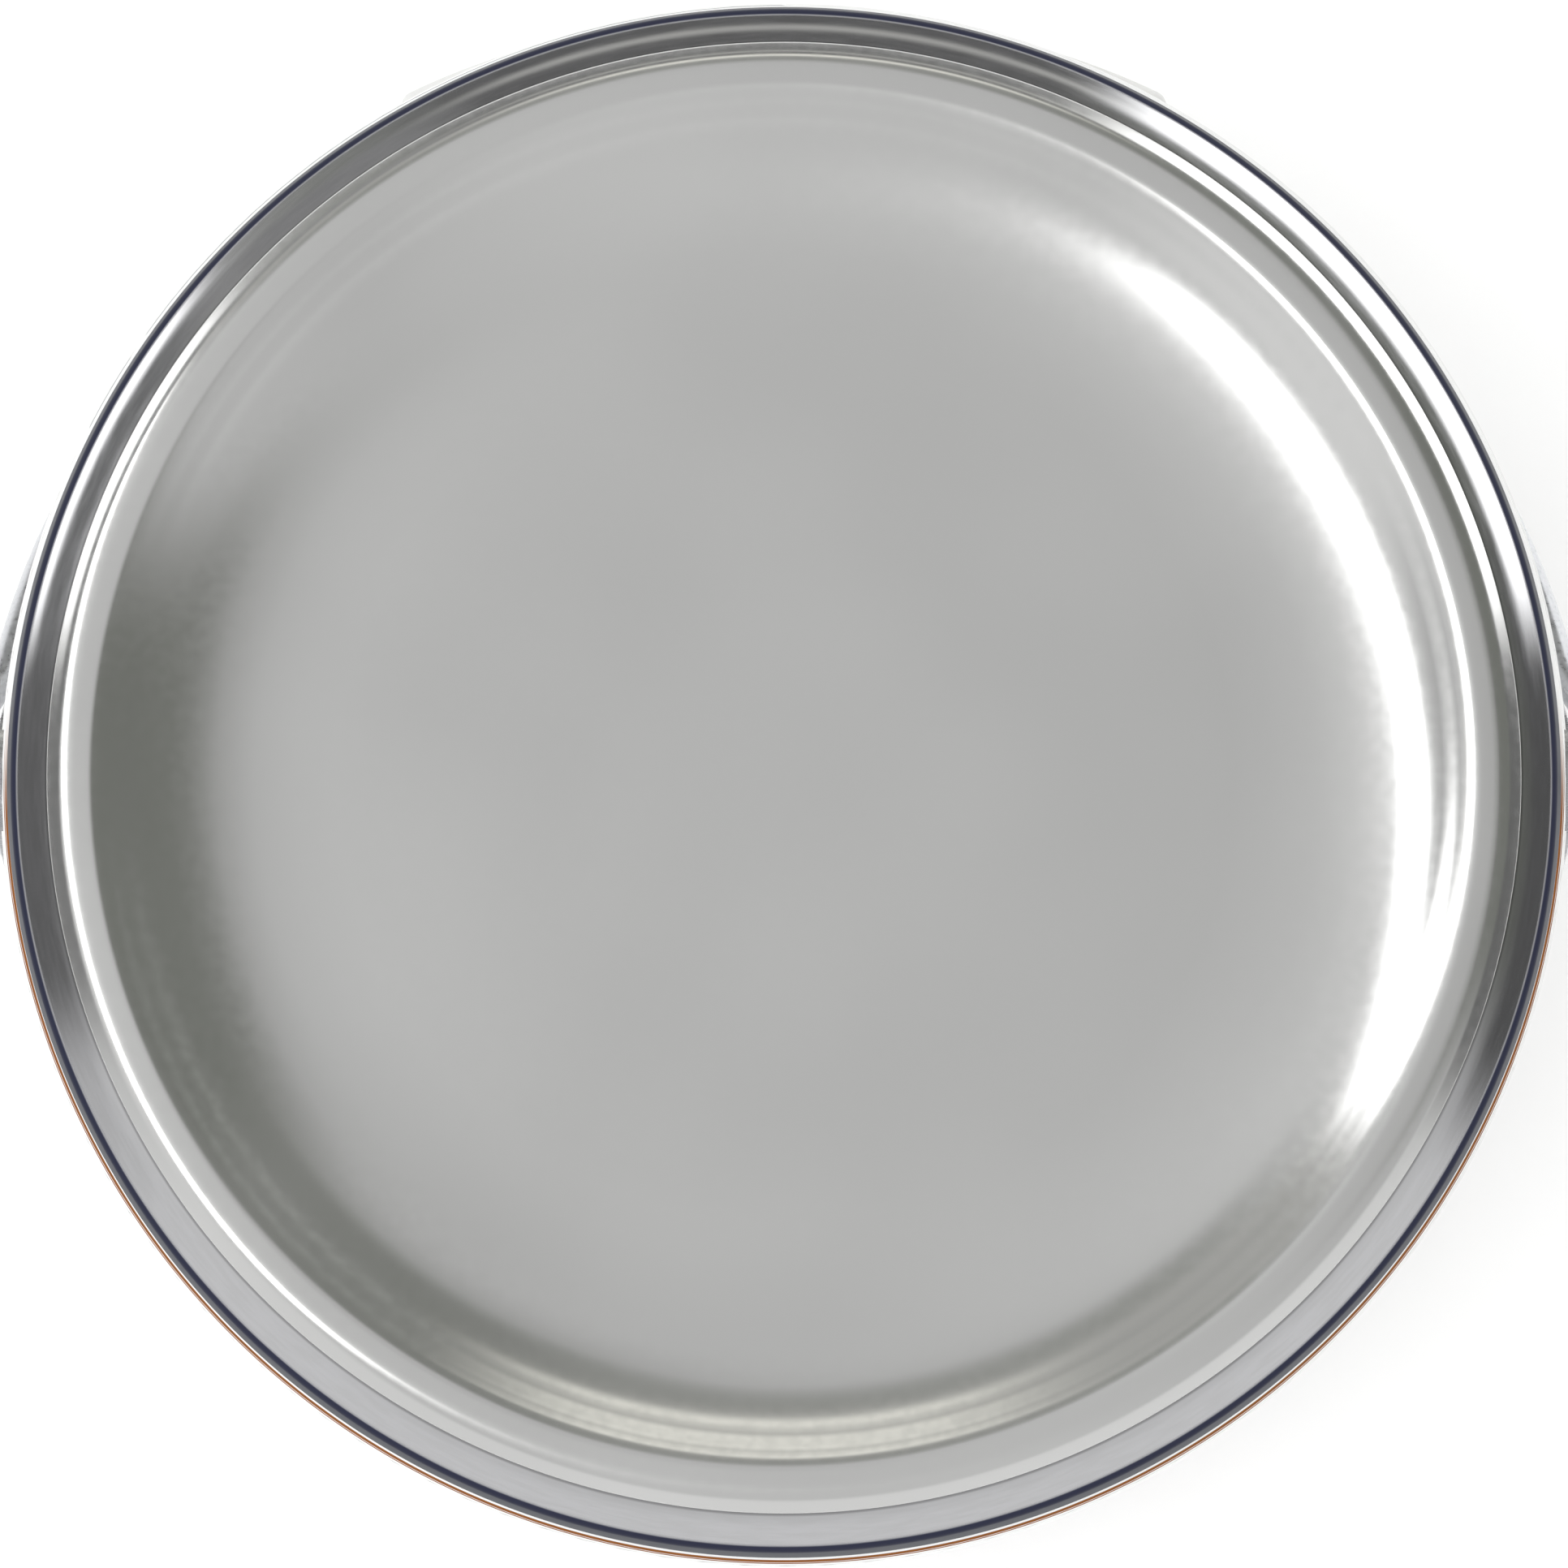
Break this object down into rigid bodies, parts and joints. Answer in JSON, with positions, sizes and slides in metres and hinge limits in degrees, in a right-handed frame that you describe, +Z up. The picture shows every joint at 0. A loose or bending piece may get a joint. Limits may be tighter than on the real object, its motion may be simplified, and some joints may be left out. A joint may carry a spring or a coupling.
{
  "type": "paint can",
  "caption": "Round necked-in metal paint can with a lever ring, a pressed-in friction lid, side ears and a hinged wire bail with a grip.",
  "frame": {"origin": "centre of the can's base circle, at floor level", "axes": "+Z up along the can's axis, X through the two ears, +Y towards the back where the bail hangs"},
  "size_m": [0.1674, 0.167, 0.163],
  "materials": {
    "tinplate": "bright tinplate",
    "ring_tinplate": "bright lacquered tinplate",
    "lid_paint": "gloss mid grey",
    "label": "coated white with thin copper and grey lines",
    "compound": "matt",
    "stripe": "baked lacquer",
    "ear_steel": "tinplate pressing",
    "wire": "galvanised wire",
    "grip": "moulded"
  },
  "bodies": {
    "can": {"body_shell": "tinplate", "bottom_end": "tinplate", "lever_ring": "ring_tinplate", "top_seam_compound": "compound", "bottom_seam_compound": "compound", "inner_weld_stripe": "stripe", "ear_right": "ear_steel", "ear_left": "ear_steel", "label_wrap": "label"},
    "lid": {"lid": "lid_paint"},
    "bail": {"bail_wire": "wire", "bail_grip": "grip"}
  },
  "joints": [
    {"name": "lid_lift", "type": "slide", "parent": "can", "child": "lid", "axis": [0, 0, 1], "range_m": [0, 0.06]},
    {"name": "bail_swing", "type": "hinge", "parent": "can", "child": "bail", "pos_m": [0, 0, 0.141], "axis": [1, 0, 0], "range_deg": [0, 254.34]}
  ]
}
